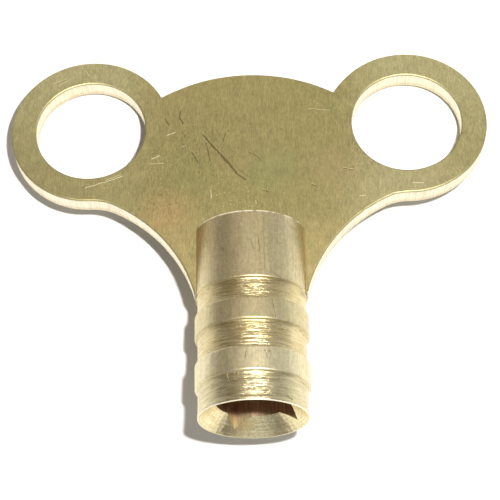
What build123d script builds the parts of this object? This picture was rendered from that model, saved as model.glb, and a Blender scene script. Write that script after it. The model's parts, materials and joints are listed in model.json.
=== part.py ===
from build123d import *
from math import asin, cos, radians, sin, sqrt, tan
import os

# A radiator bleed key in solid brass: a stamped two-ring bow brazed into a slotted, turned barrel.
# Frame, in millimetres: the origin is the centre of the socket's mouth. The barrel lies along +Y with its
# mouth facing -Y, the bow spreads along X, and +Z stands out of the bow's front face.

# ---- Driving dimensions: the barrel, measured along Y from the mouth ----
bar_radius = 4.5            # drawn 9 mm round bar
turned_radius = 4.28        # grooves and nose, turned down from the bar
lip_radius = 4.31           # small lip left round the mouth
lip_width = 0.3
nose_length = 2.3
ridge_2_width = 2.0
groove_2_width = 2.2
ridge_1_width = 1.85
groove_1_width = 1.65
collar_length = 5.75
step_round = 0.1            # softened shoulders of the ridges
end_round = 0.15            # softened rim at the bow end

# ---- Driving dimensions: the socket ----
across_flats = 5.28         # takes the 5 mm square of a bleed valve
square_turn = 19.5          # the square is broached at no set angle to the bow
square_depth = 6.2
pilot_radius = 2.88
pilot_depth = 7.0
drill_point_angle = 118
mouth_land = 0.11           # flat ring left between the countersink and the lip

# ---- Driving dimensions: the bow ----
plate_thickness = 1.6
plate_back = -0.3           # the plate sits a little off the bar's axis, towards the front
ear_spacing = 26.1
ear_height = 25.2
ear_radius = 6.6
ear_hole_radius = 4.5
crown_radius = 14.14
crown_top = 30.2
foot_half_width = 4.48      # where each flank meets the barrel's side
foot_angle = 14.8           # lean of the flank there, from the barrel's axis
flank_radius = 12.7
flank_blend_radius = 4.2    # joins the flank to the ear
plate_edge_round = 0.12

# ---- Driving dimensions: the brazed joint ----
film = 0.1                  # filler between the plate and each wall of the slot
front_fillet = 0.17         # leg of the filler's concave fillet on the bow's front face
back_fillet = 0.25

# ---- Places worked out from them ----
ridge_2_end = nose_length + ridge_2_width
ridge_1_start = ridge_2_end + groove_2_width
ridge_1_end = ridge_1_start + ridge_1_width
collar_start = ridge_1_end + groove_1_width
bow_end = collar_start + collar_length
filler_end = bow_end - end_round
foot_height = collar_start + film
plate_front = plate_back + plate_thickness
ear_half_spacing = ear_spacing / 2
crown_height = crown_top - crown_radius
countersink_radius = lip_radius - mouth_land
countersink_depth = countersink_radius - pilot_radius
drill_point_height = pilot_radius / tan(radians(drill_point_angle / 2))

os.makedirs("parts", exist_ok=True)


# ---- Barrel ----
# The ridges and the collar keep the bar's own skin. The grooves and the nose are turned just below it.
with BuildPart() as barrel:
    with BuildSketch(Plane.XY):
        with BuildLine():
            turned_side = FilletPolyline(
                (turned_radius, lip_width),
                (turned_radius, nose_length),
                (bar_radius, nose_length),
                (bar_radius, ridge_2_end),
                (turned_radius, ridge_2_end),
                (turned_radius, ridge_1_start),
                (bar_radius, ridge_1_start),
                (bar_radius, ridge_1_end),
                (turned_radius, ridge_1_end),
                (turned_radius, collar_start),
                (bar_radius, collar_start),
                (bar_radius, bow_end - end_round),
                radius=step_round,
            )
            RadiusArc(turned_side @ 1, (bar_radius - end_round, bow_end), -end_round)
            Polyline(
                (bar_radius - end_round, bow_end),
                (0, bow_end),
                (0, 0),
                (lip_radius, 0),
                turned_side @ 0,
            )
        make_face()
    revolve(axis=Axis.Y)

    # Pilot hole with its drill point, opened at the mouth by a 90 degree countersink.
    with BuildSketch(Plane.XY):
        with BuildLine():
            Polyline(
                (0, 0),
                (countersink_radius, 0),
                (pilot_radius, countersink_depth),
                (pilot_radius, pilot_depth),
                (0, pilot_depth + drill_point_height),
                close=True,
            )
        make_face()
    revolve(axis=Axis.Y, mode=Mode.SUBTRACT)

    # Broached square: its corners run out past the pilot hole.
    with BuildSketch(Plane.XZ):
        Rectangle(across_flats, across_flats, rotation=square_turn)
    extrude(amount=-square_depth, mode=Mode.SUBTRACT)

    # Slot across the bow end, for the plate and its filler.
    with BuildSketch(Plane.XY.offset(plate_back - film)):
        with Locations((0, collar_start)):
            Rectangle(3 * bar_radius, 2 * collar_length, align=(Align.CENTER, Align.MIN))
    extrude(amount=plate_thickness + 2 * film, mode=Mode.SUBTRACT)

barrel.part.label = "barrel"
export_step(barrel.part, "parts/barrel.step")


# ---- Bow plate ----
# Two round ears joined by an arched crown. Below them each flank is a long concave arc that leans in to meet
# the barrel's side, with a shorter arc that blends it into its ear. The plate's foot fills the slot.
ear_centre = Vector(ear_half_spacing, ear_height)
flank_centre = Vector(
    foot_half_width + flank_radius * cos(radians(foot_angle)),
    foot_height - flank_radius * sin(radians(foot_angle)),
)
centre_line = flank_centre - ear_centre
to_blend_from_ear = ear_radius + flank_blend_radius
to_blend_from_flank = flank_radius - flank_blend_radius
along = (to_blend_from_ear**2 - to_blend_from_flank**2 + centre_line.length**2) / (2 * centre_line.length)
aside = sqrt(to_blend_from_ear**2 - along**2)
forward = centre_line.normalized()
blend_centre = ear_centre + forward * along + Vector(forward.Y, -forward.X) * aside
ear_tangent = ear_centre + (blend_centre - ear_centre).normalized() * ear_radius
flank_tangent = flank_centre + (blend_centre - flank_centre).normalized() * flank_radius
flank_end = Vector(foot_half_width, foot_height)

with BuildSketch(Plane.XY.offset(plate_back)) as planform:
    with BuildLine():
        RadiusArc(flank_end, flank_tangent, flank_radius)
        RadiusArc(flank_tangent, ear_tangent, flank_blend_radius)
        Polyline(ear_tangent, ear_centre, (0, ear_height), (0, foot_height), flank_end)
    make_face()
    with Locations((ear_half_spacing, ear_height)):
        Circle(ear_radius)
    mirror(about=Plane.YZ)
    with BuildSketch(mode=Mode.PRIVATE) as crown:
        with Locations((0, crown_height)):
            Circle(crown_radius)
        with Locations((0, ear_height)):
            Rectangle(2 * crown_radius, crown_radius, align=(Align.CENTER, Align.MIN), mode=Mode.INTERSECT)
    add(crown.sketch)
    with Locations((-ear_half_spacing, ear_height), (ear_half_spacing, ear_height)):
        Circle(ear_hole_radius, mode=Mode.SUBTRACT)

with BuildPart() as bow_plate:
    extrude(planform.sketch, amount=plate_thickness)

    # The stamping rolls the front edge over, except at the foot inside the slot, and leaves the back one sharp.
    front_edges = bow_plate.faces().sort_by(Axis.Z)[-1].edges()
    foot_edges = front_edges.group_by(Axis.Y)[0]
    fillet(front_edges - foot_edges, plate_edge_round)

bow_plate.part.label = "bow_plate"
export_step(bow_plate.part, "parts/bow_plate.step")


# ---- Brazing filler ----
# One solidified body: a film on each wall and on the floor of the slot, drawn out into a concave fillet along
# the four creases between the plate and the bar.
creases = [(1, plate_front, front_fillet), (-1, plate_back, back_fillet)]
hollow_at = 0.26            # how far into the crease the concave face comes, as a share of its leg

with BuildPart() as fillets:
    with BuildSketch(Plane.XZ.offset(-foot_height)):
        for outward, plate_face, leg in creases:
            root_angle = asin(outward * plate_face / bar_radius)
            middle_angle = root_angle + leg / bar_radius / 2
            top_angle = root_angle + leg / bar_radius
            root_x = bar_radius * cos(root_angle)
            with BuildLine():
                Line((root_x, plate_face), (root_x + leg, plate_face))
                ThreePointArc(
                    (root_x + leg, plate_face),
                    (root_x + hollow_at * leg, plate_face + outward * hollow_at * leg),
                    (bar_radius * cos(top_angle), outward * bar_radius * sin(top_angle)),
                )
                ThreePointArc(
                    (bar_radius * cos(top_angle), outward * bar_radius * sin(top_angle)),
                    (bar_radius * cos(middle_angle), outward * bar_radius * sin(middle_angle)),
                    (root_x, plate_face),
                )
            make_face()
        mirror(about=Plane.YZ)
    extrude(amount=foot_height - filler_end)
    # They run out where the flank leaves no plate beside the bar.
    extrude(planform.sketch.moved(Location((0, 0, -plate_thickness))), amount=4 * plate_thickness, mode=Mode.INTERSECT)

with BuildPart() as braze:
    with BuildSketch(Plane.XY.offset(plate_back - film)):
        with Locations((0, collar_start)):
            Rectangle(2 * bar_radius, filler_end - collar_start, align=(Align.CENTER, Align.MIN))
    extrude(amount=plate_thickness + 2 * film)
    with BuildSketch(Plane.XZ.offset(-collar_start)):
        Circle(bar_radius)
    extrude(amount=-collar_length, mode=Mode.INTERSECT)
    add(fillets.part)
    with BuildSketch(Plane.XY.offset(plate_back)):
        with Locations((0, foot_height)):
            Rectangle(4 * bar_radius, 2 * collar_length, align=(Align.CENTER, Align.MIN))
    extrude(amount=plate_thickness, mode=Mode.SUBTRACT)

braze.part.label = "braze"
export_step(braze.part, "parts/braze.step")
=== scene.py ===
# %% [markdown]
# # A brass radiator bleed key
# The key is three pieces of brass: a flat bow stamped from sheet, a short barrel turned from round bar, and
# the brazing filler that joins them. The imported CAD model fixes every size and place. Here each piece is
# modelled again with the marks of how it was made, and then given its finish.

# %% Load the frame
import json
import math
import random
import bmesh
import bpy
from mathutils import Matrix, Vector, noise
from mathutils.geometry import intersect_sphere_sphere_2d


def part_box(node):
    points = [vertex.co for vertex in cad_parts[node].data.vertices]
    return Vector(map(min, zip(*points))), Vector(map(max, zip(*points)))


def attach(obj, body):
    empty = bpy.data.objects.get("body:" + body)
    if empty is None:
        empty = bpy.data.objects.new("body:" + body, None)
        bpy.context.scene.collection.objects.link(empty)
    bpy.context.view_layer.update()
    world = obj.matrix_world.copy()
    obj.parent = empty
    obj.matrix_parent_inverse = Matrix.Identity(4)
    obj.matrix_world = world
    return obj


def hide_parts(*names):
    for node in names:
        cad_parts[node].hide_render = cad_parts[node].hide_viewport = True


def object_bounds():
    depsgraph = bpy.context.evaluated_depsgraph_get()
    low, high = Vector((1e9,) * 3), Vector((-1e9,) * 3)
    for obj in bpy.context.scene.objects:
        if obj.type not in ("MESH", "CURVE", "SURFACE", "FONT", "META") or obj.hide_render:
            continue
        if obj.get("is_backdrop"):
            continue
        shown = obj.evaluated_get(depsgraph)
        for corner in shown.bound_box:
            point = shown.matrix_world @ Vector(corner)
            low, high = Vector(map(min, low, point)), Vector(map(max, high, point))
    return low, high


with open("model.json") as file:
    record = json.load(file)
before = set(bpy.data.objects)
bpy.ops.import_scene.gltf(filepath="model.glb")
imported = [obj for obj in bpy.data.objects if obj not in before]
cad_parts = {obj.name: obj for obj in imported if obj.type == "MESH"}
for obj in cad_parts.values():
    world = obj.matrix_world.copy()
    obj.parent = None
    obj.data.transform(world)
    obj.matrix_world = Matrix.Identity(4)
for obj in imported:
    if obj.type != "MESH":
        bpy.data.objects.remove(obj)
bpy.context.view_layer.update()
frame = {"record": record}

# %% [markdown]
# ## Sizes
# The frame says where the plate and the bar begin and end, and the record's mounts give the two rings. The
# few sizes that a box can't give, such as the width of each groove, are driving dimensions here.

# %% Sizes read from the frame
mm = 0.001
plate_low, plate_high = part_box("bow_plate")
bar_low, bar_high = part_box("barrel")
_, filler_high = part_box("braze")
mounts = {mount["name"]: mount for mount in frame["record"]["mounts"]}
ring = mounts["right_ring"]

plate_front, plate_back, foot = plate_high.z, plate_low.z, plate_low.y
ear_centre = Vector(ring["pos_m"][:2])
ear_radius = plate_high.x - ear_centre.x
hole_radius = ring["dims"]["r_mm"] * mm
bar_radius, mouth, bow_end = bar_high.x, bar_low.y, bar_high.y
print("bar radius", round(bar_radius / mm, 3), "mm; ear radius", round(ear_radius / mm, 3), "mm")

# %% Driving dimensions
crown_radius = 14.14 * mm
crown_top = 30.2 * mm
foot_half_width = 4.48 * mm
foot_angle = math.radians(14.8)
flank_radius = 12.7 * mm
blend_radius = 4.2 * mm

turned_radius = 4.28 * mm
lip_radius = 4.31 * mm
lip_width = 0.3 * mm
nose_end = 2.3 * mm
ridge_2_end = 4.3 * mm
ridge_1_start = 6.5 * mm
ridge_1_end = 8.35 * mm
collar_start = 10.0 * mm
step_round = 0.1 * mm
end_round = 0.15 * mm

across_flats = 5.28 * mm
square_turn = math.radians(19.5)
square_depth = 6.2 * mm
pilot_radius = 2.88 * mm
pilot_depth = 7.0 * mm
drill_half_angle = math.radians(59)
sink_radius = 4.2 * mm
film = 0.1 * mm
front_leg = 0.17 * mm
back_leg = 0.25 * mm

# %% [markdown]
# ## Helpers
# A finished piece is one mesh object at the origin. Its smooth faces meet in hard creases wherever they turn
# by more than an angle, as machined and sheared metal does.

# %% Turning a bmesh into a finished piece
crease_angle = math.radians(32)
weld = 1e-7


def finish_mesh(bm, name, finishes):
    """Makes an object of bm, with creases where its faces turn sharply and one material slot per finish."""
    bmesh.ops.remove_doubles(bm, verts=bm.verts, dist=weld)
    bmesh.ops.recalc_face_normals(bm, faces=bm.faces)
    for face in bm.faces:
        face.smooth = True
    for edge in bm.edges:
        level = [abs(face.normal.z) > 0.99999 for face in edge.link_faces]
        edge.smooth = edge.calc_face_angle(0) < crease_angle and any(level) == all(level)
    mesh = bpy.data.meshes.new(name)
    bm.to_mesh(mesh)
    bm.free()
    for finish in finishes:
        mesh.materials.append(finish)
    piece = bpy.data.objects.new(name, mesh)
    bpy.context.scene.collection.objects.link(piece)
    print(name, "has", len(mesh.vertices), "vertices and", len(mesh.polygons), "faces")
    return piece


def place(piece, node):
    """Lets the piece stand for a CAD node, on the key's one body."""
    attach(piece, "root")
    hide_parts(node)


# %% [markdown]
# ## Shader sums
# A finish is easier to read as a formula than as a web of nodes. `Value` wraps a socket, so that an ordinary
# sum or product adds its own Math node. Every other node comes from `Finish.node`.

# %% A socket that can be added and multiplied
class Value:
    def __init__(self, finish, socket):
        self.finish = finish
        self.socket = socket

    def sum(self, operation, *terms):
        return self.finish.node("ShaderNodeMath", {"operation": operation}, dict(enumerate(terms)))

    def __add__(self, other):
        return self.sum("ADD", self, other)

    def __sub__(self, other):
        return self.sum("SUBTRACT", self, other)

    def __rsub__(self, other):
        return self.sum("SUBTRACT", other, self)

    def __mul__(self, other):
        return self.sum("MULTIPLY", self, other)

    def __pow__(self, other):
        return self.sum("POWER", self, other)

    __radd__ = __add__
    __rmul__ = __mul__


# %% [markdown]
# A finish reads the piece's own coordinates, turned from metres into millimetres so that every pattern can be
# given its real size. Steps, noise and scratches are the brushes that all the finishes share.

# %% A material and its nodes
class Finish:
    def __init__(self, name):
        self.material = bpy.data.materials.new(name)
        self.material.use_nodes = True
        self.tree = self.material.node_tree
        self.shader = self.tree.nodes["Principled BSDF"]
        on_piece = self.node("ShaderNodeTexCoord", {}, {}, "Object")
        self.point = self.arrow("SCALE", on_piece, Scale=1000.0)
        self.x, self.y, self.z = (self.node("ShaderNodeSeparateXYZ", {}, {0: self.point}, i)
                                  for i in range(3))

    def node(self, kind, settings, inputs, output=0):
        """Adds a node: its settings first, then each input's value or link. Ramp stops go under "stops"."""
        node = self.tree.nodes.new(kind)
        for key, value in settings.items():
            if key == "stops":
                while len(node.color_ramp.elements) < len(value):
                    node.color_ramp.elements.new(1)
                for element, (at, colour) in zip(node.color_ramp.elements, value):
                    element.position = at
                    element.color = (*colour, 1)
            else:
                setattr(node, key, value)
        for key, value in inputs.items():
            if isinstance(value, Value):
                self.tree.links.new(value.socket, node.inputs[key])
            else:
                node.inputs[key].default_value = value
        return Value(self, node.outputs[output])

    def arrow(self, operation, first, second=None, output=0, **others):
        """Vector maths on millimetre vectors."""
        inputs = {0: first, **others}
        if second is not None:
            inputs[1] = second
        return self.node("ShaderNodeVectorMath", {"operation": operation}, inputs, output)

    def spot(self, x, y, z):
        return self.node("ShaderNodeCombineXYZ", {}, {0: x, 1: y, 2: z})

    def noise(self, vector, scale=1.0, detail=2.0, rough=0.5):
        return self.node("ShaderNodeTexNoise", {}, {"Vector": vector, "Scale": scale, "Detail": detail,
                                                    "Roughness": rough})

    def step(self, value, low, high, to_low=0.0, to_high=1.0):
        """Runs smoothly from to_low, where value is low, to to_high, where it is high."""
        return self.node("ShaderNodeMapRange", {"interpolation_type": "SMOOTHSTEP"},
                         {0: value, 1: low, 2: high, 3: to_low, 4: to_high})

    def mix(self, share, first, second, blend="MIX"):
        return self.node("ShaderNodeMix", {"data_type": "RGBA", "blend_type": blend, "clamp_result": False},
                         {0: share, 6: (*first, 1) if isinstance(first, tuple) else first,
                          7: (*second, 1) if isinstance(second, tuple) else second}, 2)

    def ramp(self, value, *stops):
        return self.node("ShaderNodeValToRGB", {"stops": stops}, {0: value})

    def scratches(self, vector, lines):
        """How strongly a point lies on any of the lines, each given as width, strength and its points."""
        shake = self.node("ShaderNodeTexNoise", {}, {"Vector": vector, "Scale": 2.2, "Detail": 3.0}, 1)
        shake = self.arrow("MULTIPLY", self.arrow("SUBTRACT", shake, (0.5, 0.5, 0.5)), (0.16, 0.16, 0.0))
        vector = self.arrow("ADD", vector, shake)
        total = None
        for width, strength, *points in lines:
            for start, end in zip(points, points[1:]):
                start, end = Vector((*start, 0)), Vector((*end, 0))
                along = end - start
                offset = self.arrow("SUBTRACT", vector, start)
                share = self.arrow("DOT_PRODUCT", offset, along / along.length_squared, "Value")
                share = self.node("ShaderNodeClamp", {}, {0: share})
                nearest = self.arrow("SCALE", tuple(along), Scale=share)
                distance = self.arrow("DISTANCE", offset, nearest, "Value")
                mark = self.step(distance, 0.25 * width, width, strength, 0.0)
                total = mark if total is None else total.sum("MAXIMUM", total, mark)
        return total

    def bump(self, height, distance):
        """Tilts the surface by a height pattern of that many millimetres."""
        return self.node("ShaderNodeBump", {}, {"Height": height, "Distance": distance * mm})

    def set(self, **inputs):
        """Sets or links the shader's own sockets, named with underscores for spaces, and gives the material."""
        for key, value in inputs.items():
            socket = self.shader.inputs[key.replace("_", " ")]
            if isinstance(value, Value):
                self.tree.links.new(value.socket, socket)
            else:
                socket.default_value = (*value, 1) if isinstance(value, tuple) else value
        return self.material


# %% [markdown]
# ## Rolled sheet
# The bow's faces keep the skin of rolled brass sheet, dulled to olive by handling. Rolling leaves fine grain
# along the sheet, tarnish leaves soft patches from green to tan, and use adds specks, pits and scratches. The
# rings are painted lighter, partly as wear and partly as a painted highlight, the face is painted lighter
# towards the crown, a painted highlight, and the rolled front edge is painted dark, a painted shade. The grain
# is noise that is squeezed across the sheet and stretched along it.

# %% Scratches on the bow's front, in mm
dark_lines = [(0.075, 1.0, (-3.8, 24.5), (-3.1, 23.55), (-1.8, 22.0), (-1.07, 20.8), (-0.34, 20.2)),
              (0.10, 0.8, (-2.3, 22.5), (-1.1, 20.9)),
              (0.05, 0.7, (0.0, 22.75), (0.6, 22.4), (1.0, 21.9)),
              (0.08, 0.8, (-5.66, 26.8), (-5.7, 26.2), (-5.4, 25.6)),
              (0.07, 0.8, (-6.9, 26.1), (-6.55, 25.5)),
              (0.06, 0.7, (-4.7, 22.9), (-4.15, 21.9)),
              (0.07, 0.7, (-3.5, 23.7), (-3.2, 22.0)),
              (0.06, 0.8, (7.7, 20.97), (8.45, 20.86)),
              (0.07, 0.7, (-1.9, 24.6), (-2.1, 23.7)),
              (0.10, 0.9, (5.1, 19.5), (5.3, 19.45)),
              (0.08, 0.8, (1.1, 19.15), (1.45, 19.05)),
              (0.05, 0.5, (-0.9, 21.2), (0.1, 20.3))]
bright_lines = [(0.05, 1.0, (-6.72, 24.5), (-6.05, 24.75)), (0.05, 0.9, (-8.0, 22.3), (-7.3, 22.6)),
                (0.04, 0.7, (-8.1, 21.85), (-7.0, 21.9)), (0.04, 0.6, (-5.56, 23.37), (-5.2, 23.5)),
                (0.05, 0.9, (-13.3, 19.8), (-11.2, 20.45), (-10.3, 20.8)),
                (0.04, 0.8, (-11.7, 20.45), (-10.5, 20.9)),
                (0.05, 0.9, (13.2, 19.45), (14.05, 19.4)), (0.05, 0.8, (8.9, 18.4), (9.35, 18.38)),
                (0.05, 0.8, (-3.12, 19.3), (-3.1, 18.6)), (0.05, 0.8, (0.5, 18.2), (0.52, 17.9)),
                (0.04, 0.8, (-16.4, 29.8), (-15.2, 30.3)), (0.04, 0.8, (-15.9, 29.6), (-14.9, 30.2)),
                (0.05, 0.8, (-13.6, 31.0), (-13.3, 30.5)), (0.04, 0.6, (5.0, 26.7), (6.8, 26.5))]

# %% Grain, patches and where marks gather
f = Finish("rolled_face")
grain = f.noise(f.arrow("MULTIPLY", f.point, (7.0, 0.45, 7.0)), detail=4.0, rough=0.65)
fine_grain = f.noise(f.arrow("MULTIPLY", f.point, (16.0, 1.6, 16.0)), detail=3.0, rough=0.6)
patches = f.noise(f.point, 0.22, 3.0, 0.55)
mottle = f.noise(f.arrow("MULTIPLY", f.point, (1.6, 0.8, 1.6)), detail=5.0, rough=0.7)
flat = f.spot(f.x, f.y, 0.0)


def zones(*places):
    """Where marks gather: each zone is its x, y and reach in mm."""
    return sum(f.step(f.arrow("DISTANCE", flat, (x, y, 0.0), "Value"), 0.2 * reach, reach, 1.0, 0.0)
               for x, y, reach in places)


# %% Tarnish, and painted highlights on the rings and towards the crown
tan_spot = f.step(f.arrow("DISTANCE", f.point, (-6.6, 17.2, 1.3), "Value") + mottle * 2.4, 1.6, 4.2, 1.0, 0.0)
tan_foot = f.step(f.y + mottle * 3.0, 15.5, 19.5, 0.55, 0.0)
tarnish_and_painted_light = f.mix(f.step(patches + mottle * 0.35, 0.5, 0.85), (0.60, 0.54, 0.245), (0.63, 0.55, 0.255))
tarnish_and_painted_light = f.mix(f.step(patches + mottle * 0.3, 0.42, 0.62, 0.55, 0.0), tarnish_and_painted_light, (0.56, 0.535, 0.23))
# The rings are painted lighter, most towards their tops: partly wear and partly a painted highlight.
outward = f.node("ShaderNodeMath", {"operation": "ABSOLUTE"}, {0: f.x})
ring_wear_and_highlight = f.step(outward + mottle * 3.0, 8.0, 13.0) * f.step(f.y, 20.0, 31.0, 0.35, 1.0)
tarnish_and_painted_light = f.mix(ring_wear_and_highlight, tarnish_and_painted_light, (0.76, 0.71, 0.39))
tarnish_and_painted_light = f.mix(zones((12.5, 18.5, 7.0)) * 0.6, tarnish_and_painted_light, (0.84, 0.77, 0.45))
# The whole face is painted lighter towards the crown: a painted highlight.
painted_light_to_crown = f.step(f.y, 19.0, 35.0)
tarnish_and_painted_light = f.mix(1.0, tarnish_and_painted_light, f.ramp(painted_light_to_crown, (0.0, (0.70, 0.70, 0.70)), (1.0, (0.85, 0.85, 0.85))),
                "MULTIPLY")
tarnish_and_painted_light = f.mix(tan_spot * 0.6, tarnish_and_painted_light, (0.60, 0.42, 0.20))
tarnish_and_painted_light = f.mix(tan_foot * mottle, tarnish_and_painted_light, (0.66, 0.53, 0.27))
tarnish_and_painted_light = f.mix(1.0, tarnish_and_painted_light, f.ramp(grain * 0.45 + mottle * 0.55, (0.3, (0.84, 0.84, 0.85)),
                                     (0.7, (1.12, 1.12, 1.11))), "MULTIPLY")
tarnish_and_painted_light = f.mix(1.0, tarnish_and_painted_light, f.ramp(fine_grain, (0.3, (0.84, 0.84, 0.84)), (0.7, (1.14, 1.14, 1.14))),
                "MULTIPLY")

# %% Grit, specks, pits, scratches, and painted shade on the rolled edge
grit = f.noise(f.arrow("MULTIPLY", f.point, (11.0, 3.6, 11.0)), detail=3.0, rough=0.7)
tarnish_and_painted_light = f.mix(1.0, tarnish_and_painted_light, f.ramp(grit, (0.32, (0.86, 0.85, 0.83)), (0.68, (1.12, 1.12, 1.13))),
                "MULTIPLY")
speck_noise = f.noise(f.arrow("MULTIPLY", f.point, (7.0, 5.5, 7.0)), detail=2.0, rough=0.7)
rubbed = zones((-7.6, 22.4, 3.4), (-1.2, 18.6, 4.0), (5.6, 26.6, 1.8), (-15.8, 30.0, 2.0), (16.2, 20.2, 2.6),
               (-12.0, 20.2, 3.0))
specks = f.step(speck_noise + rubbed * 0.09, 0.70, 0.76)
pit_noise = f.noise(f.arrow("MULTIPLY", f.point, (7.0, 2.4, 7.0)), detail=3.0, rough=0.7)
knocked = zones((-4.2, 23.6, 5.0), (9.0, 22.4, 3.0), (-7.5, 18.5, 3.0))
pits = f.step(pit_noise - knocked * 0.075, 0.30, 0.36, 1.0, 0.0)
on_front = f.step(f.z, 0.5, 1.0)
dark = f.scratches(flat, dark_lines) * on_front
bright = f.scratches(flat, bright_lines) * on_front
tarnish_and_painted_light = f.mix(zones((1.9, 21.2, 3.2)) * mottle * 0.6, tarnish_and_painted_light, (0.37, 0.41, 0.185))
tarnish_and_painted_light = f.mix(zones((6.6, 21.2, 3.0)) * mottle * 0.6, tarnish_and_painted_light, (0.56, 0.43, 0.24))
tarnish_and_painted_light = f.mix(pits * 0.45, tarnish_and_painted_light, (0.19, 0.15, 0.06))
# The rolled front edge is painted dark and less metallic: painted shade.
painted_edge_shade = f.step(f.z, 1.19, 1.29, 1.0, 0.0) * on_front
tarnish_and_painted_light = f.mix(painted_edge_shade, tarnish_and_painted_light, (0.26, 0.235, 0.12))
tarnish_and_painted_light = f.mix(specks * 0.8, tarnish_and_painted_light, (0.98, 0.84, 0.44))
tarnish_and_painted_light = f.mix(bright, tarnish_and_painted_light, (1.0, 0.92, 0.62))
tarnish_and_painted_light = f.mix(dark * 0.85, tarnish_and_painted_light, (0.16, 0.115, 0.05))

# %% Rolled sheet
height = grain * 0.5 + fine_grain * 0.35 + mottle * 0.3 - dark * 1.5 - pits * 0.5
rolled_face = f.set(Metallic=1.0 - painted_edge_shade * 0.9, Base_Color=tarnish_and_painted_light,
                    Roughness=0.50 + mottle * 0.12 - specks * 0.15 + painted_edge_shade * 0.3,
                    Normal=f.bump(height, 0.012))
print(len(f.tree.nodes), "nodes in the rolled face")

# %% [markdown]
# ## Sheared wall
# The shear first burnishes the wall and then tears it. The burnished band is bright, and the torn one below
# it is a little rougher. Both have streaks in the direction of the cut, through the sheet.

# %% Sheared wall
f = Finish("sheared_wall")
streaks = f.noise(f.arrow("MULTIPLY", f.point, (9.0, 9.0, 0.5)), detail=3.0, rough=0.65)
ragged = f.noise(f.point, 1.6, 3.0)
torn = f.step(f.z + ragged * 0.5, 0.25, 0.45, 1.0, 0.0)
warmth = f.noise(f.point, 0.3, 2.0)
cut = f.mix(f.step(warmth, 0.4, 0.65), (0.84, 0.78, 0.62), (0.84, 0.765, 0.59))
cut = f.mix(1.0, cut, f.ramp(streaks, (0.3, (0.78, 0.76, 0.72)), (0.65, (1.1, 1.1, 1.1))), "MULTIPLY")
cut = f.mix(torn * 0.3, cut, (0.60, 0.47, 0.26))
sheared_wall = f.set(Metallic=1.0, Base_Color=cut, Roughness=0.34 + torn * 0.16 + streaks * 0.08,
                     Normal=f.bump(streaks + torn * ragged * 0.6, 0.02))

# %% [markdown]
# ## The drawn bar's skin
# Drawing a bar through a die leaves faint lines along it. On the key they show on the collar and on both
# ridges, where the lathe never cut. Dirt sits in small lengthways ticks and the tan tone varies in patches. The
# collar's left side is painted brown, a painted shade, the ridge nearest the mouth is painted paler, a painted
# highlight, and the collar's rounded top edge is painted bright in places, also a painted highlight. The angle
# round the axis, times the radius, unrolls the bar into a flat strip that can be scratched.

# %% The unrolled bar
def unroll(f):
    """The distance round the bar from its front line, in mm, and the distance from its axis."""
    angle = f.node("ShaderNodeMath", {"operation": "ARCTAN2"}, {0: f.x, 1: f.z})
    return angle * (bar_radius / mm), (f.x * f.x + f.z * f.z) ** 0.5


# %% Drawn skin
f = Finish("drawn_skin")
round_it, _ = unroll(f)
lines = f.noise(f.arrow("MULTIPLY", f.point, (8.0, 0.35, 8.0)), detail=4.0, rough=0.65)
mottle = f.noise(f.point, 1.1, 5.0, 0.6)
patches = f.noise(f.arrow("MULTIPLY", f.point, (0.5, 0.2, 0.5)), detail=2.0)
ticks = f.step(f.noise(f.arrow("MULTIPLY", f.point, (9.0, 1.5, 9.0)), detail=3.0, rough=0.75)
               + f.step(round_it, -2.0, 3.0, -0.03, 0.03), 0.63, 0.70)
skin = f.mix(f.step(patches, 0.35, 0.65), (0.70, 0.625, 0.38), (0.745, 0.65, 0.415))
# The ridge nearest the mouth is painted paler than the rest of the skin: a painted highlight.
skin = f.mix(f.step(f.y, 4.5, 6.0, 0.7, 0.0), skin, (0.86, 0.79, 0.55))
# The collar's left side is painted brown: painted shade.
painted_shade_left = f.step(round_it + mottle * 2.0, -4.0, -0.8, 0.5, 0.0) * f.step(f.y, 10.5, 15.0)
skin = f.mix(painted_shade_left, skin, (0.64, 0.44, 0.21))
grit = f.noise(f.arrow("MULTIPLY", f.point, (4.5, 3.0, 4.5)), detail=4.0, rough=0.75)
skin = f.mix(1.0, skin, f.ramp(lines * 0.4 + grit * 0.6, (0.32, (0.70, 0.68, 0.64)), (0.68, (1.2, 1.2, 1.2))),
             "MULTIPLY")

# %% Marks on the skin, and a painted highlight on the collar's top edge
skin_marks = f.scratches(f.spot(round_it, f.y, 0.0), [
    (0.06, 0.9, (1.72, 8.1), (1.86, 7.4), (1.95, 6.7)), (0.05, 0.8, (1.05, 3.96), (1.25, 3.3)),
    (0.04, 0.6, (0.1, 13.2), (0.35, 12.2)), (0.04, 0.7, (0.7, 13.4), (0.8, 12.1)),
    (0.10, 0.6, (-2.2, 12.7), (-2.1, 12.4)), (0.03, 0.5, (1.1, 15.6), (1.15, 10.4)),
    (0.05, 0.7, (-0.4, 3.9), (-0.5, 3.2)), (0.06, 0.7, (1.9, 10.4), (2.5, 10.05))])
# The collar's rounded top edge is painted bright and less metallic in patches: a painted highlight.
rim = f.step(f.y, bow_end / mm - 0.22, bow_end / mm - 0.10) * f.step(mottle, 0.38, 0.5)
skin = f.mix(rim, skin, (0.95, 0.88, 0.66))
skin = f.mix(ticks * 0.5, skin, (0.30, 0.21, 0.09))
skin = f.mix(skin_marks * 0.8, skin, (0.20, 0.14, 0.06))
drawn_skin = f.set(Metallic=1.0 - rim * 0.7, Base_Color=skin, Roughness=0.36 + mottle * 0.1,
                   Normal=f.bump(lines * 0.7 + mottle * 0.4 - ticks - skin_marks, 0.012))

# %% [markdown]
# ## Turned brass
# The grooves, the nose and the lip are fresh metal: bright gold with rings from the tool and a few smudges and
# scratches. A thin bright line round the mouth's edge is a painted highlight. The rings are noise that changes
# fast along the axis and hardly at all round it.

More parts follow.
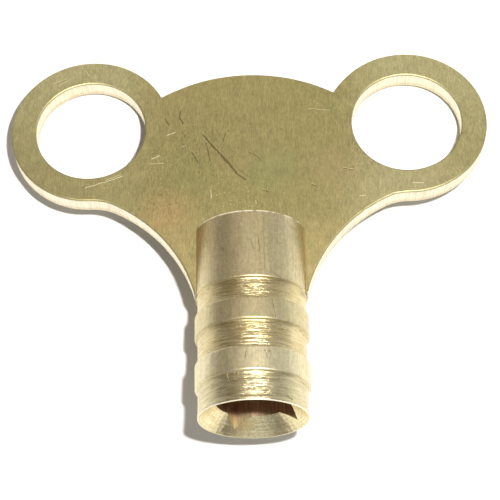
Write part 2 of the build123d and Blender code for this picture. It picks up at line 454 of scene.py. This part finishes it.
# %% Turned brass
f = Finish("turned_brass")
round_it, radius = unroll(f)
rings = f.noise(f.spot(radius * 9.0, f.y * 9.0, round_it * 0.12), detail=3.0, rough=0.7)
broken_rings = f.noise(f.spot(radius * 3.0, f.y * 6.5, round_it * 0.9), detail=4.0, rough=0.65)
patches = f.noise(f.point, 0.8, 4.0, 0.6)
gold = f.mix(f.step(patches, 0.4, 0.62), (0.72, 0.63, 0.375), (0.67, 0.565, 0.31))
gold = f.mix(f.step(f.y, 2.1, 2.5, 1.0, 0.0), gold, (0.68, 0.61, 0.39))
gold = f.mix(1.0, gold, f.ramp(rings * 0.45 + broken_rings * 0.55, (0.32, (0.70, 0.67, 0.60)),
                               (0.62, (1.16, 1.16, 1.16))), "MULTIPLY")
smudge = f.step(f.noise(f.spot(round_it * 2.4, f.y * 5.0, 0.0), detail=4.0, rough=0.7), 0.60, 0.72)
gold = f.mix(smudge * 0.5, gold, (0.40, 0.29, 0.11))
nose_marks = f.scratches(f.spot(round_it, f.y, 0.0), [
    (0.07, 0.9, (-1.96, 2.5), (-1.9, 2.0), (-1.6, 1.4)), (0.06, 0.7, (2.9, 0.6), (3.5, 0.35)),
    (0.04, 0.6, (1.0, 0.6), (2.2, 0.5))])
gold = f.mix(nose_marks * 0.8, gold, (0.22, 0.15, 0.05))
# A thin bright, less metallic line round the mouth's edge: a painted highlight.
mouth_highlight = f.step(f.y, 0.03, 0.10, 1.0, 0.0)
gold = f.mix(mouth_highlight, gold, (0.98, 0.93, 0.80))
turned_brass = f.set(Metallic=1.0 - mouth_highlight * 0.6, Base_Color=gold, Roughness=0.22 + broken_rings * 0.12,
                     Normal=f.bump(rings * 0.7 + broken_rings * 0.8 - nose_marks, 0.05))

# %% [markdown]
# ## The countersink
# A countersink tool chatters as it cuts: its teeth bounce and leave short dull steps round the cone. Their
# spacing is even, so a sine of the angle gives them, and noise breaks them up. The lowest part has gone tan.

# %% Countersink
f = Finish("countersink")
round_it, radius = unroll(f)
wobble = f.noise(f.point, 1.6, 3.0)
chatter = f.node("ShaderNodeMath", {"operation": "SINE"}, {0: round_it * 9.0 + wobble * 9.0 + radius * 3.0})
rings = f.noise(f.spot(radius * 11.0, round_it * 0.4, 0.0), detail=3.0, rough=0.65)
gold = f.mix(f.step(wobble, 0.35, 0.65), (0.80, 0.71, 0.46), (0.86, 0.77, 0.52))
gold = f.mix(1.0, gold, f.ramp(rings, (0.3, (0.74, 0.72, 0.66)), (0.65, (1.14, 1.14, 1.12))), "MULTIPLY")
gold = f.mix(f.step(chatter, 0.2, 1.0, 0.0, 0.16), gold, (0.38, 0.29, 0.11))
speckle = f.noise(f.arrow("MULTIPLY", f.point, (7.0, 7.0, 7.0)), detail=3.0, rough=0.7)
gold = f.mix(1.0, gold, f.ramp(speckle, (0.32, (0.78, 0.75, 0.66)), (0.66, (1.18, 1.18, 1.16))), "MULTIPLY")
from_low_side = f.arrow("DISTANCE", f.point, (-1.0, 0.9, -3.4), "Value")
tan_patch = f.step(from_low_side + wobble * 0.8, 0.6, 1.9, 0.6, 0.0)
gold = f.mix(tan_patch, gold, (0.72, 0.52, 0.24))
countersink = f.set(Metallic=1.0, Base_Color=gold, Roughness=0.26 + wobble * 0.1,
                    Normal=f.bump(rings + chatter * 0.15, 0.02))

# %% [markdown]
# ## The socket
# Inside, the broach has scraped along the walls and cutting oil has dried to a brown film. One corner of the
# square is torn at the mouth, and shows rough, duller metal.

# %% Socket
f = Finish("broached_socket")
scrapes = f.noise(f.arrow("MULTIPLY", f.point, (7.0, 0.6, 7.0)), detail=4.0, rough=0.65)
stain = f.noise(f.point, 0.9, 3.0)
film_tone = f.mix(f.step(f.y + stain * 1.5, 0.6, 2.6), (0.62, 0.49, 0.27), (0.66, 0.47, 0.32))
film_tone = f.mix(1.0, film_tone, f.ramp(scrapes, (0.3, (0.65, 0.62, 0.58)), (0.7, (1.2, 1.2, 1.2))),
                  "MULTIPLY")
from_corner = f.arrow("DISTANCE", f.spot(f.x, 0.0, f.z), (-1.6, 0.0, -3.3), "Value")
torn_corner = f.step(from_corner, 1.2, 1.8, 1.0, 0.0) * f.step(f.y + scrapes * 1.6, 1.9, 2.6, 1.0, 0.0)
rough_metal = f.mix(f.step(scrapes, 0.35, 0.6), (0.42, 0.33, 0.16), (0.66, 0.56, 0.32))
film_tone = f.mix(torn_corner, film_tone, rough_metal)
broached_socket = f.set(Metallic=1.0 - torn_corner * 0.35, Base_Color=film_tone,
                        Roughness=0.36 + stain * 0.15, Normal=f.bump(scrapes, 0.02))

# %% [markdown]
# ## The filler
# Frozen filler is smooth, since it took its shape as a liquid. Only soft tone changes and a few pinholes
# show.

# %% Filler
f = Finish("frozen_filler")
ripple = f.noise(f.point, 1.8, 3.0)
pinholes = f.step(f.noise(f.point, 7.0, 2.0), 0.26, 0.31, 1.0, 0.0)
gold = f.mix(f.step(ripple, 0.35, 0.65), (0.80, 0.66, 0.34), (0.72, 0.56, 0.26))
gold = f.mix(pinholes * 0.7, gold, (0.30, 0.20, 0.08))
frozen_filler = f.set(Metallic=1.0, Base_Color=gold, Roughness=0.26 + ripple * 0.14,
                      Normal=f.bump(ripple - pinholes, 0.02))

# %% [markdown]
# ## The bow
# The bow is stamped from 1.6 mm sheet: two finger rings joined by an arched crown, and flanks that lean in
# to the barrel. The outline could be typed in as a long list of points, but each half is four arcs, so one
# vertex is swept round each arc's centre in turn with spin, and the other half is its mirror image.

# %% The right half of the outline
edge_length = 0.14 * mm


def sweep(bm, start, centre, turn):
    """Sweeps a vertex round a centre by an angle, leaving a fine chain of edges, and gives the last vertex."""
    steps = max(2, round(abs(turn) * (start.co.xy - centre).length / edge_length))
    swept = bmesh.ops.spin(bm, geom=[start], cent=(*centre, start.co.z), axis=(0, 0, 1), angle=turn,
                           steps=steps)
    return swept["geom_last"][0]


def bearing(centre, point):
    return math.atan2(point.y - centre.y, point.x - centre.x)


start = Vector((foot_half_width, foot))
flank_centre = start + flank_radius * Vector((math.cos(foot_angle), -math.sin(foot_angle)))
blend_centre = min(intersect_sphere_sphere_2d(ear_centre, ear_radius + blend_radius, flank_centre,
                                              flank_radius - blend_radius), key=lambda point: point.x)
crown_centre = Vector((0, crown_top - crown_radius))
cusp = max(intersect_sphere_sphere_2d(ear_centre, ear_radius, crown_centre, crown_radius),
           key=lambda point: point.y)

bow = bmesh.new()
vertex = bow.verts.new((*start, plate_front))
arcs = [(flank_centre, bearing(flank_centre, blend_centre)), (blend_centre, bearing(blend_centre, ear_centre)),
        (ear_centre, bearing(ear_centre, cusp)), (crown_centre, math.pi / 2)]
for centre, end_bearing in arcs:
    vertex = sweep(bow, vertex, centre, end_bearing - bearing(centre, vertex.co))
print(len(bow.verts), "points in half of the outline")

# %% The other half, the foot, the rings' holes and the front face
bmesh.ops.mirror(bow, geom=bow.verts[:] + bow.edges[:], axis="X", merge_dist=1e-6)
feet = sorted(bow.verts, key=lambda vert: (round(vert.co.y, 7), -abs(vert.co.x)))[:2]
bow.edges.new(feet)
hole_points = round(2 * math.pi * hole_radius / edge_length)
for side in (-1, 1):
    bmesh.ops.create_circle(bow, segments=hole_points, radius=hole_radius,
                            matrix=Matrix.Translation((side * ear_centre.x, ear_centre.y, plate_front)))
front = bmesh.ops.triangle_fill(bow, edges=bow.edges, use_beauty=True, normal=(0, 0, 1))["geom"]
front = [item for item in front if isinstance(item, bmesh.types.BMFace)]
print("front face", round(sum(face.calc_area() for face in front) / mm ** 2, 1), "square mm")

# %% [markdown]
# A punch draws the sheet's front edge down a little before it shears, so that edge is rolled and the back one
# is sharp. Three narrow insets follow the quarter of a circle: the outermost loop is the lowest.

# %% The rolled front edge
roll = 0.12 * mm
angles = [math.radians(angle) for angle in (0, 30, 60, 90)]
bands = []
for before, after in zip(angles, angles[1:]):
    inset = bmesh.ops.inset_region(bow, faces=front, thickness=roll * (math.cos(before) - math.cos(after)),
                                   depth=0, use_boundary=True, use_even_offset=True)
    bands.append({vert for face in inset["faces"] for vert in face.verts})
for band, angle in zip(bands, angles):
    for vert in band:
        vert.co.z = plate_front - roll * (1 - math.sin(angle))
for vert in {vert for face in front for vert in face.verts}:
    vert.co.z = plate_front
print("flat face", round(sum(face.calc_area() for face in front) / mm ** 2, 1), "square mm at",
      round(front[0].verts[0].co.z / mm, 3), "mm; its rim is rolled down to",
      round(min(vert.co.z for vert in bow.verts) / mm, 3), "mm")

# %% The sheared wall and the back
wall_rows = 6
edges = [edge for edge in bow.edges if edge.is_boundary]
wall = set()
for row in range(wall_rows):
    grown = bmesh.ops.extrude_edge_only(bow, edges=edges)["geom"]
    bmesh.ops.translate(bow, vec=(0, 0, -(plate_front - roll - plate_back) / wall_rows),
                        verts=[item for item in grown if isinstance(item, bmesh.types.BMVert)])
    edges = [item for item in grown if isinstance(item, bmesh.types.BMEdge) and item.is_boundary]
    wall.update(item for item in grown if isinstance(item, bmesh.types.BMFace))
bmesh.ops.triangle_fill(bow, edges=edges, use_beauty=True, normal=(0, 0, -1))
for face in bow.faces:
    face.material_index = 1 if face in wall else 0
print(len(wall), "faces in the sheared wall")

# %% [markdown]
# Shearing tears the wall: it waves a little and drags fine vertical steps. Handling has left small dents
# along the lower front edges. Every move goes inwards, so that the bow never grows past its true size.

# %% Tearing and dents
tear = 0.022 * mm
dents_a_side = 16
dents = random.Random(7)
dent_places = [(Vector((dents.uniform(8, 18) * side, dents.uniform(16, 20.5), 1.2)) * mm,
                dents.uniform(0.25, 0.5) * mm, dents.uniform(0.05, 0.1) * mm)
               for side in (-1, 1) for _ in range(dents_a_side)]
bmesh.ops.recalc_face_normals(bow, faces=bow.faces)
bow.normal_update()
moves = {}
for vert in bow.verts:
    outward = Vector((vert.normal.x, vert.normal.y, 0))
    if vert.co.y > foot + 0.2 * mm and outward.length > 0.05:
        outward.normalize()
        place_mm = vert.co / mm
        steps = Vector((place_mm.x * 3.1, place_mm.y * 3.1, 3 + place_mm.z * 0.5))
        wave = noise.noise(place_mm * 0.7) * 0.5 + noise.noise(steps) * 0.5
        depth = tear * (0.6 + 0.7 * wave)
        if vert.co.z > 0.6 * mm:
            for centre, width, deep in dent_places:
                depth += deep * max(0, 1 - (vert.co - centre).length / width) ** 2
        moves[vert] = -outward * max(0, depth)
for vert, move in moves.items():
    vert.co += move
print("largest move", round(max(move.length for move in moves.values()) / mm, 3), "mm")
bow = finish_mesh(bow, "bow", [rolled_face, sheared_wall])
place(bow, "bow_plate")

# %% [markdown]
# ## The barrel
# The barrel is a length of drawn round bar. A lathe cuts two grooves and the nose a little below the bar's
# skin, which leaves two grip ridges, and opens the mouth with a drill and a countersink. All of that is
# round, so one profile is drawn from its corners, the shoulders are softened, and it is spun about the
# axis.

# %% The profile
pilot_floor = pilot_depth + pilot_radius / math.tan(drill_half_angle)
sink_depth = sink_radius - pilot_radius
corners = [(0, pilot_floor), (pilot_radius, pilot_depth), (pilot_radius, sink_depth), (sink_radius, 0),
           (lip_radius, 0), (lip_radius, lip_width), (turned_radius, lip_width + 0.05 * mm),
           (turned_radius, nose_end),
           (bar_radius, nose_end), (bar_radius, ridge_2_end), (turned_radius, ridge_2_end),
           (turned_radius, ridge_1_start), (bar_radius, ridge_1_start), (bar_radius, ridge_1_end),
           (turned_radius, ridge_1_end), (turned_radius, collar_start), (bar_radius, collar_start),
           (bar_radius, bow_end), (0, bow_end)]
bar = bmesh.new()
chain = [bar.verts.new((radius, along, 0)) for radius, along in corners]
for first, second in zip(chain, chain[1:]):
    bar.edges.new((first, second))
lip_round = 0.03 * mm
rounds = {step_round: chain[7:17], end_round: chain[17:18], lip_round: chain[4:5]}
for radius, verts in rounds.items():
    bmesh.ops.bevel(bar, geom=verts, offset=radius, segments=4, profile=0.5, affect="VERTICES", material=-1)
print(len(bar.verts), "points in the profile")

# %% [markdown]
# A lathe tool leaves fine rings. The profile is divided into steps a little under a tenth of a millimetre
# long. Those that were turned outside are sunk by up to 12 micrometres, and those in the countersink lie up
# to 8 micrometres either way. The bar's drawn skin stays straight.

# %% Turning marks
ring_pitch = 0.09 * mm
groove_marks_mm = 0.012
sink_marks_mm = 0.008
turning = random.Random(3)
for edge in list(bar.edges):
    cuts = int(edge.calc_length() / ring_pitch)
    if cuts > 1:
        bmesh.ops.subdivide_edges(bar, edges=[edge], cuts=cuts)
for vert in sorted(bar.verts, key=lambda vert: (vert.co.y, vert.co.x)):
    on_skin = vert.co.x > bar_radius - weld
    if vert.co.x > sink_radius and not on_skin and vert.co.y < collar_start - 0.15 * mm:
        vert.co.x -= turning.uniform(0, groove_marks_mm) * mm
    elif vert.co.x > pilot_radius + 1e-6 and vert.co.y < sink_depth and vert.co.x < sink_radius - 1e-6:
        vert.co.y += turning.uniform(-sink_marks_mm, sink_marks_mm) * mm
spin_steps = 240
bmesh.ops.spin(bar, geom=bar.verts[:] + bar.edges[:], cent=(0, 0, 0), axis=(0, 1, 0), angle=math.tau,
               steps=spin_steps, use_merge=True)
bmesh.ops.remove_doubles(bar, verts=bar.verts, dist=weld)
bmesh.ops.recalc_face_normals(bar, faces=bar.faces)
print(len(bar.faces), "faces spun;", sum(edge.is_boundary for edge in bar.edges), "open edges")

# %% [markdown]
# The square is broached down the pilot hole, and a saw cuts the slot that takes the bow. A broach and a saw
# are both straight cutters, so each is a block taken away from the bar with a Boolean.

# %% Cutters for the square and the slot
slot_low, slot_high = plate_back - film, plate_front + film


def cutter(name, low, high, turn=0.0):
    """A block from low to high, turned about the bar's axis."""
    block = bmesh.new()
    size, middle = high - low, (high + low) / 2
    bmesh.ops.create_cube(block, size=1, matrix=Matrix.Rotation(turn, 4, "Y") @ Matrix.Translation(middle)
                          @ Matrix.Diagonal((*size, 1)))
    mesh = bpy.data.meshes.new(name)
    block.to_mesh(mesh)
    block.free()
    tool = bpy.data.objects.new(name, mesh)
    bpy.context.scene.collection.objects.link(tool)
    return tool


half = across_flats / 2
broach = cutter("broach", Vector((-half, -1 * mm, -half)), Vector((half, square_depth, half)), -square_turn)
saw = cutter("saw", Vector((-2 * bar_radius, collar_start, slot_low)),
             Vector((2 * bar_radius, 2 * bow_end, slot_high)))
blank_mesh = bpy.data.meshes.new("blank")
bar.to_mesh(blank_mesh)
bar.free()
blank = bpy.data.objects.new("blank", blank_mesh)
bpy.context.scene.collection.objects.link(blank)
for tool in (broach, saw):
    cut = blank.modifiers.new(tool.name, "BOOLEAN")
    cut.operation, cut.solver, cut.object = "DIFFERENCE", "EXACT", tool
bpy.context.view_layer.update()
cut_mesh = bpy.data.meshes.new_from_object(blank.evaluated_get(bpy.context.evaluated_depsgraph_get()))
print(len(cut_mesh.polygons), "faces once it is cut")

# %% The finished barrel
bar = bmesh.new()
bar.from_mesh(cut_mesh)
for spare in (broach, saw, blank):
    bpy.data.objects.remove(spare)
bmesh.ops.triangulate(bar, faces=[face for face in bar.faces if len(face.verts) > 4])
skin_bands = [(nose_end, ridge_2_end), (ridge_1_start, ridge_1_end), (collar_start, bow_end)]
for face in bar.faces:
    middle = face.calc_center_median()
    radius = math.hypot(middle.x, middle.z)
    outer = radius > turned_radius - 0.03 * mm
    if outer and any(low - 0.04 * mm < middle.y < high + 0.04 * mm for low, high in skin_bands):
        face.material_index = 0
    elif outer or middle.y > collar_start - 1e-6:
        face.material_index = 1
    elif middle.y < sink_depth and abs(radius - (sink_radius - middle.y)) < 0.06 * mm:
        face.material_index = 2
    else:
        face.material_index = 3 if radius < turned_radius - 0.1 * mm and middle.y > 0.01 * mm else 1
bar = finish_mesh(bar, "bar", [drawn_skin, turned_brass, countersink, broached_socket])
place(bar, "barrel")

# %% [markdown]
# ## The brazing filler
# Melted filler runs into the slot and is drawn along the four creases between the plate and the bar, where
# it freezes in a small hollow fillet. Each fillet starts as one arc, is closed behind the bar's skin, and
# is drawn along the crease with a slightly wandering toe.

# %% Films and fillets
filler = bmesh.new()
filler_end = filler_high.y
under_skin = 0.99 * bar_radius
films = [(Vector((-turned_radius, collar_start, plate_front)), Vector((turned_radius, filler_end, slot_high))),
         (Vector((-under_skin, collar_start, slot_low)), Vector((under_skin, filler_end, plate_back))),
         (Vector((-under_skin, collar_start, slot_low)), Vector((under_skin, foot, slot_high)))]
for low, high in films:
    bmesh.ops.create_cube(filler, size=1, matrix=Matrix.Translation((low + high) / 2)
                          @ Matrix.Diagonal((*(high - low), 1)))

fillet_steps = 64
arc_steps = 8
arc_angle = math.radians(100)
for side in (-1, 1):
    for outward, face_at, leg in ((1, plate_front, front_leg), (-1, plate_back, back_leg)):
        others = set(filler.verts)
        root = math.sqrt(bar_radius ** 2 - face_at ** 2)
        hub = Vector((side * (root + leg), foot, face_at + outward * leg))
        toe = filler.verts.new((hub.x, foot, face_at))
        inside = filler.verts.new((side * (root - 0.3 * mm), foot, face_at))
        tip = bmesh.ops.spin(filler, geom=[toe], cent=hub, axis=(0, 1, 0), steps=arc_steps,
                             angle=side * outward * arc_angle)["geom_last"][0]
        filler.edges.new((inside, toe))
        filler.edges.new((inside, tip))
        outline = {edge for vert in filler.verts if vert not in others for edge in vert.link_edges}
        section = bmesh.ops.contextual_create(filler, geom=list(outline))["faces"]
        drawn = bmesh.ops.extrude_face_region(filler, geom=section, use_keep_orig=True)["geom"]
        bmesh.ops.translate(filler, vec=(0, filler_end - foot, 0),
                            verts=[item for item in drawn if isinstance(item, bmesh.types.BMVert)])
        lengthways = [edge for edge in filler.edges if not others.intersection(edge.verts)
                      and abs(edge.verts[0].co.y - edge.verts[1].co.y) > 1 * mm]
        bmesh.ops.subdivide_edges(filler, edges=lengthways, cuts=fillet_steps)
        for vert in filler.verts:
            if vert not in others and abs(vert.co.x) > root:
                wander = 0.82 + 0.3 * noise.noise(Vector((vert.co.y / mm * 1.3, side * 5, outward * 9)))
                wander *= min(1, (filler_end - vert.co.y) / (0.5 * mm) + 0.35)
                vert.co.x = side * (root + (abs(vert.co.x) - root) * wander)
                vert.co.z = face_at + (vert.co.z - face_at) * wander
                flank = flank_centre.x - math.sqrt(flank_radius ** 2 - (vert.co.y - flank_centre.y) ** 2)
                vert.co.x = side * min(abs(vert.co.x), max(root, flank - 0.03 * mm))
print(len(filler.faces), "faces;", sum(not edge.is_manifold for edge in filler.edges), "open or doubled edges")
filler = finish_mesh(filler, "filler", [frozen_filler])
place(filler, "braze")

# %% [markdown]
# ## Floor, light and camera
# The key lies on a plain white sheet. Its barrel is thicker than its bow, so it rests on the end of the
# collar and on the far edges of both rings, with the mouth lifted. The sheet therefore slopes in the key's
# own frame, through those contacts. It glows a little towards its edge, where light arrives at a slant, to
# stay white.

# %% Floor
floor_radius = 160 * mm
collar_contact = Vector((0, bow_end, -bar_radius))
ring_contact = Vector((0, plate_high.y, plate_back))
slope = math.atan2(ring_contact.z - collar_contact.z, ring_contact.y - collar_contact.y)
floor_bm = bmesh.new()
bmesh.ops.create_circle(floor_bm, cap_ends=True, segments=96, radius=floor_radius,
                        matrix=Matrix.Translation(collar_contact) @ Matrix.Rotation(slope, 4, "X"))
floor_mesh = bpy.data.meshes.new("floor")
floor_bm.to_mesh(floor_mesh)
floor_bm.free()
floor = bpy.data.objects.new("floor", floor_mesh)
bpy.context.scene.collection.objects.link(floor)
f = Finish("white_sheet")
paper = f.noise(f.point, 0.6, 3.0)
far = f.step(f.arrow("LENGTH", f.point, None, "Value"), 45.0, 140.0, 0.0, 0.6)
white_sheet = f.set(Base_Color=f.mix(paper, (0.85, 0.85, 0.85), (0.87, 0.87, 0.87)), Roughness=0.8,
                    Emission_Color=f.mix(far, (0, 0, 0), (1, 1, 1)), Emission_Strength=1.0)
floor_mesh.materials.append(white_sheet)
floor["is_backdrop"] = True
print("the sheet slopes", round(math.degrees(slope), 1), "degrees")

# %% [markdown]
# Brass shows what it reflects. A warm room and a cool window, added together, give it bright and dimmer
# sides. Each is an even tone plus a few soft glows whose strength depends on the direction alone, so they
# are built from the ray's direction. The camera itself sees plain white where it looks past the sheet.

# %% Soft surroundings
world = bpy.data.worlds.new("soft_room")
bpy.context.scene.world = world
world.use_nodes = True
tree = world.node_tree
ray = tree.nodes.new("ShaderNodeTexCoord").outputs["Generated"]


def glow(direction, narrow, wide, strength):
    """Light that is full within narrow degrees of a direction and fades out at wide degrees."""
    dot = tree.nodes.new("ShaderNodeVectorMath")
    dot.operation = "DOT_PRODUCT"
    tree.links.new(ray, dot.inputs[0])
    dot.inputs[1].default_value = Vector(direction).normalized()
    fade = tree.nodes.new("ShaderNodeMapRange")
    fade.interpolation_type = "SMOOTHSTEP"
    limits = (math.cos(math.radians(wide)), math.cos(math.radians(narrow)), 0, strength)
    for socket, value in zip(list(fade.inputs)[1:5], limits):
        socket.default_value = value
    tree.links.new(dot.outputs["Value"], fade.inputs[0])
    return fade.outputs[0]


def backdrop(colour, even, glows):
    """A background of one colour, as strong as an even share plus its glows."""
    total = tree.nodes.new("ShaderNodeValue").outputs[0]
    total.default_value = even
    for light in glows:
        add = tree.nodes.new("ShaderNodeMath")
        tree.links.new(light, add.inputs[0])
        tree.links.new(total, add.inputs[1])
        total = add.outputs[0]
    background = tree.nodes.new("ShaderNodeBackground")
    background.inputs["Color"].default_value = (*colour, 1)
    tree.links.new(total, background.inputs["Strength"])
    return background.outputs[0]


# %% A warm room and a cool window
room = backdrop((1.0, 0.87, 0.73), 0.095, [glow((0, 0.56, 0.83), 14, 50, 0.37),
                                           glow((-1, 0.1, 0.2), 10, 60, 0.12)])
window = backdrop((0.93, 0.97, 1.0), 0.0, [glow((1, 0.1, 0.4), 10, 60, 0.24),
                                           glow((1, 0.45, 0.02), 10, 38, 0.4),
                                           glow((0, -1, 0.45), 10, 45, 0.62)])
both = tree.nodes.new("ShaderNodeAddShader")
tree.links.new(room, both.inputs[0])
tree.links.new(window, both.inputs[1])
seen = tree.nodes.new("ShaderNodeBackground")
seen.inputs["Color"].default_value = (1, 1, 1, 1)
seen.inputs["Strength"].default_value = 1.1
choose = tree.nodes.new("ShaderNodeMixShader")
tree.links.new(tree.nodes.new("ShaderNodeLightPath").outputs["Is Camera Ray"], choose.inputs[0])
tree.links.new(both.outputs[0], choose.inputs[1])
tree.links.new(seen.outputs[0], choose.inputs[2])
tree.links.new(choose.outputs[0], tree.nodes["World Output"].inputs["Surface"])
print(len(tree.nodes), "nodes in the world")

# %% [markdown]
# The small lamp hangs close beside the camera, and its shadows spread a little as they fall away from it. A
# lamp this close would light the near side of the sheet far more than the rest, so its falloff is constant.

# %% The lamp
lamp = bpy.data.lights.new("lamp", "POINT")
lamp.energy = 50
lamp.shadow_soft_size = 3 * mm
lamp.color = (1.0, 0.985, 0.95)
lamp.use_nodes = True
falloff = lamp.node_tree.nodes.new("ShaderNodeLightFalloff")
falloff.inputs["Strength"].default_value = 1.0
lamp.node_tree.links.new(falloff.outputs["Constant"], lamp.node_tree.nodes["Emission"].inputs["Strength"])
lamp_object = bpy.data.objects.new("lamp", lamp)
lamp_object.location = Vector((18.5, -25.0, 115)) * mm
lamp_object.visible_camera = False
bpy.context.scene.collection.objects.link(lamp_object)

# %% [markdown]
# The camera looks down at about 64 degrees to the bow, a little from the mouth's side. Its place and its
# three axes are given as rows: right, up and back. Colours are shown as they are, so that white paper stays
# white.

# %% Camera
lens = bpy.data.cameras.new("camera")
lens.lens, lens.sensor_width = 114.59, 36.0
lens.clip_start, lens.clip_end = 0.01, 10
camera = bpy.data.objects.new("camera", lens)
bpy.context.scene.collection.objects.link(camera)
right, up, back = (0.99943, -0.01488, -0.03035), (0.02676, 0.89682, 0.44158), (0.02065, -0.44214, 0.89671)
camera.matrix_world = Matrix.LocRotScale(Vector((2.577, -42.078, 114.572)) * mm,
                                         Matrix((right, up, back)).transposed().to_quaternion(), None)
bpy.context.scene.camera = camera
bpy.context.scene.view_settings.view_transform = "Standard"
print("camera to mouth", round((camera.location - Vector((0, mouth, 0))).length / mm, 1), "mm")

# %% Sizes, and the end
low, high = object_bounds()
print("visual box, mm:", [round(v * 1000, 2) for v in (*low, *high)])
